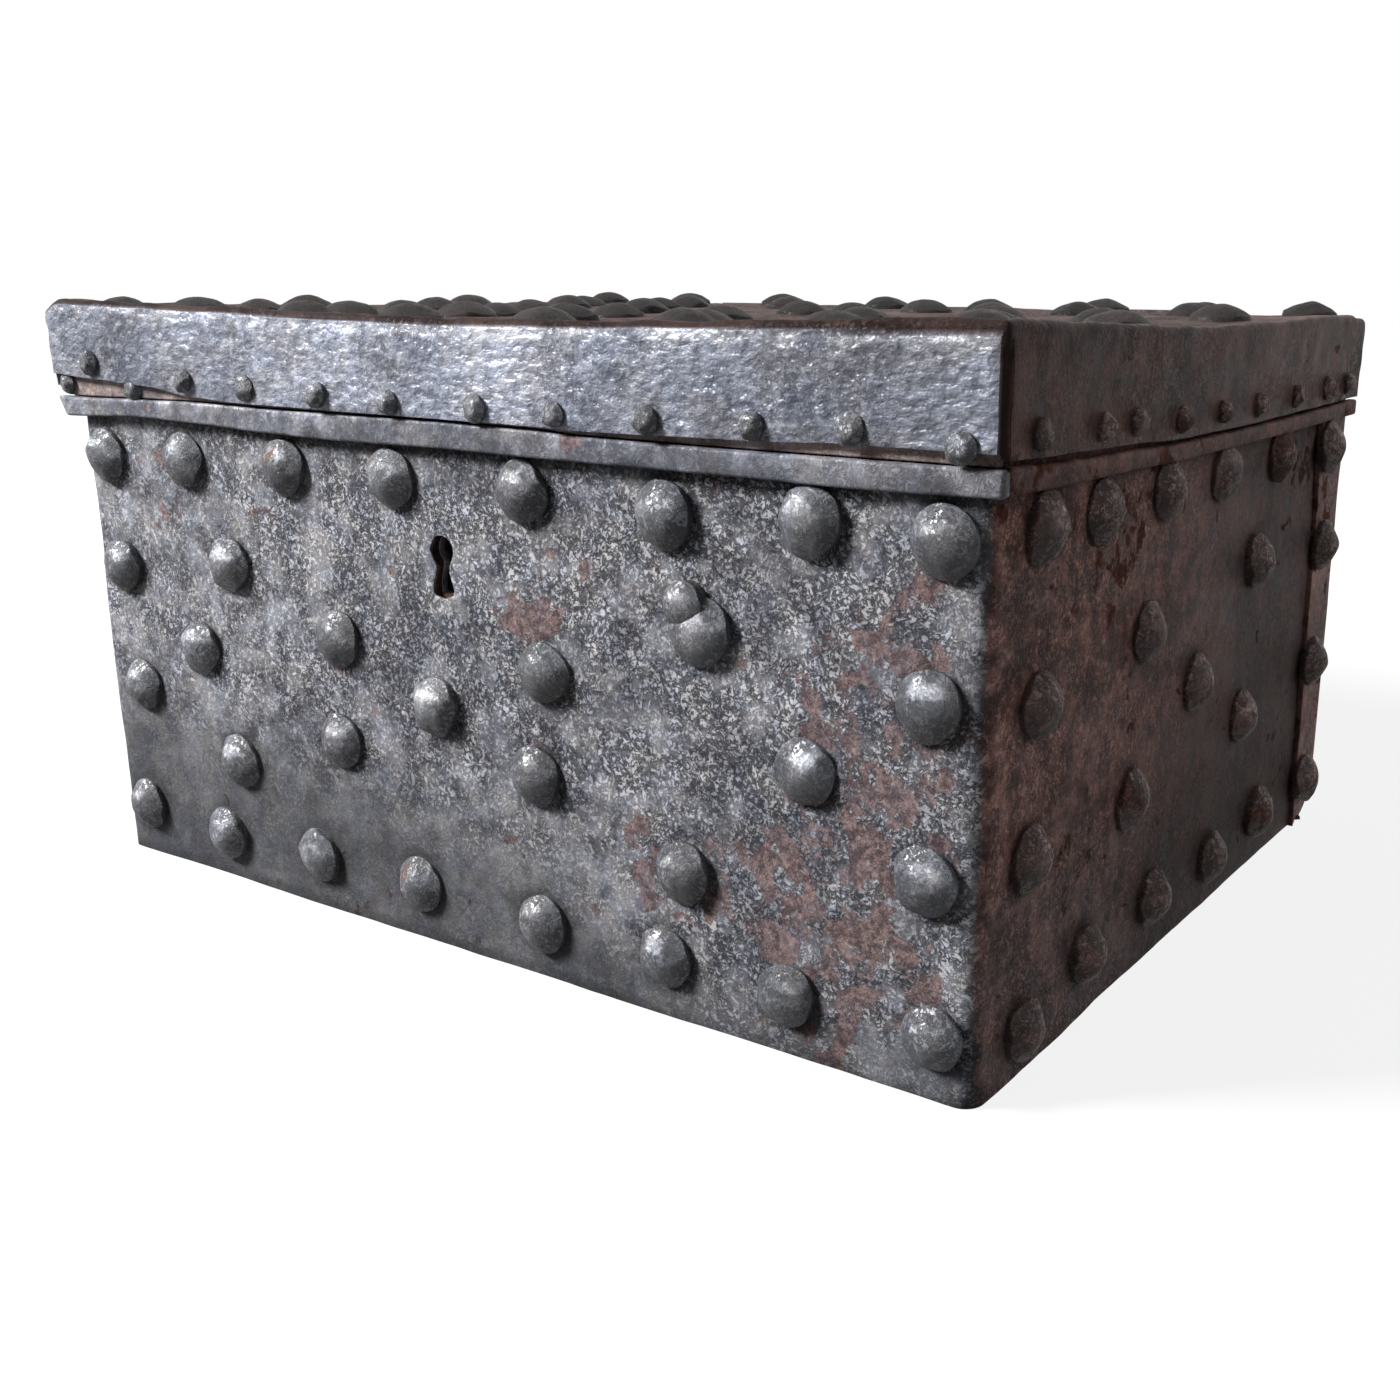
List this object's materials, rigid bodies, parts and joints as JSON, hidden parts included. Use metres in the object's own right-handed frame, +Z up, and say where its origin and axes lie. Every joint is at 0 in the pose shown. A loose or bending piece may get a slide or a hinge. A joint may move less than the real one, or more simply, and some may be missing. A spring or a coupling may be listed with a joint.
{
  "type": "iron strongbox",
  "caption": "Riveted iron strongbox with a skirted lid on two strap hinges, domed studs all over, and a sliding-bolt lock behind a keyhole.",
  "frame": {"origin": "on the floor at the centre of the base, the underside of the bottom plate", "axes": "+X to the right along the front, +Y from the front to the hinged back, +Z up"},
  "size_m": [0.4052, 0.3356, 0.219],
  "materials": {
    "body_iron": "old forged sheet iron, mottled dark grey with rust patches",
    "lining_iron": "bare sheet iron with an even brown rust bloom",
    "band_iron": "flat bar, grey and lightly pitted",
    "lid_iron": "hammered sheet iron, lighter silvery grey, worn bright at the edges",
    "strip_iron": "rusted strip iron",
    "hinge_iron": "forged, dark, worn at the eyes",
    "rivet_iron": "hammered domes, dark with bright worn crowns",
    "lock_steel": "filed steel, oiled and dulled"
  },
  "bodies": {
    "box": {"body_wrap_sheet": "body_iron", "back_plate": "body_iron", "bottom_plate": "lining_iron", "front_lining": "lining_iron", "right_lining": "lining_iron", "left_lining": "lining_iron", "back_lining": "lining_iron", "rim_band_front": "band_iron", "rim_band_right": "band_iron", "rim_band_left": "band_iron", "rim_band_back_left": "band_iron", "rim_band_back_middle": "band_iron", "rim_band_back_right": "band_iron", "hinge_body_strap_left": "hinge_iron", "hinge_body_strap_right": "hinge_iron", "hinge_pin_left": "hinge_iron", "hinge_pin_right": "hinge_iron", "lock_plate": "lock_steel", "bolt_guide_left": "lock_steel", "bolt_guide_right": "lock_steel", "ward_ring": "lock_steel", "lock_cap": "lock_steel", "back_spring": "lock_steel", "flange_rivet_right_1": "rivet_iron", "flange_rivet_right_2": "rivet_iron", "flange_rivet_right_3": "rivet_iron", "flange_rivet_right_4": "rivet_iron", "flange_rivet_left_1": "rivet_iron", "flange_rivet_left_2": "rivet_iron", "flange_rivet_left_3": "rivet_iron", "flange_rivet_left_4": "rivet_iron", "hinge_body_rivet_left_1": "rivet_iron", "hinge_body_rivet_left_2": "rivet_iron", "hinge_body_rivet_left_3": "rivet_iron", "hinge_body_rivet_right_1": "rivet_iron", "hinge_body_rivet_right_2": "rivet_iron", "hinge_body_rivet_right_3": "rivet_iron", "lock_rivet_1": "rivet_iron", "lock_rivet_2": "rivet_iron", "lock_rivet_3": "rivet_iron", "lock_rivet_4": "rivet_iron"},
    "lid": {"lid_sheet": "lid_iron", "lid_lining": "lining_iron", "skirt_strip_front": "strip_iron", "skirt_strip_back": "strip_iron", "skirt_strip_right": "strip_iron", "skirt_strip_left": "strip_iron", "hinge_lid_strap_left": "hinge_iron", "hinge_lid_strap_right": "hinge_iron", "hinge_lid_rivet_left_1": "rivet_iron", "hinge_lid_rivet_left_2": "rivet_iron", "hinge_lid_rivet_right_1": "rivet_iron", "hinge_lid_rivet_right_2": "rivet_iron", "lid_staple": "lock_steel", "staple_rivet_left": "rivet_iron", "staple_rivet_right": "rivet_iron"},
    "bolt": {"lock_bolt": "lock_steel"}
  },
  "joints": [
    {"name": "lid_hinge", "type": "hinge", "parent": "box", "child": "lid", "pos_m": [0, 0.1637, 0.181], "axis": [-1, 0, 0], "range_deg": [0, 105]},
    {"name": "bolt_slide", "type": "slide", "parent": "box", "child": "bolt", "axis": [1, 0, 0], "range_m": [0, 0.012]}
  ]
}
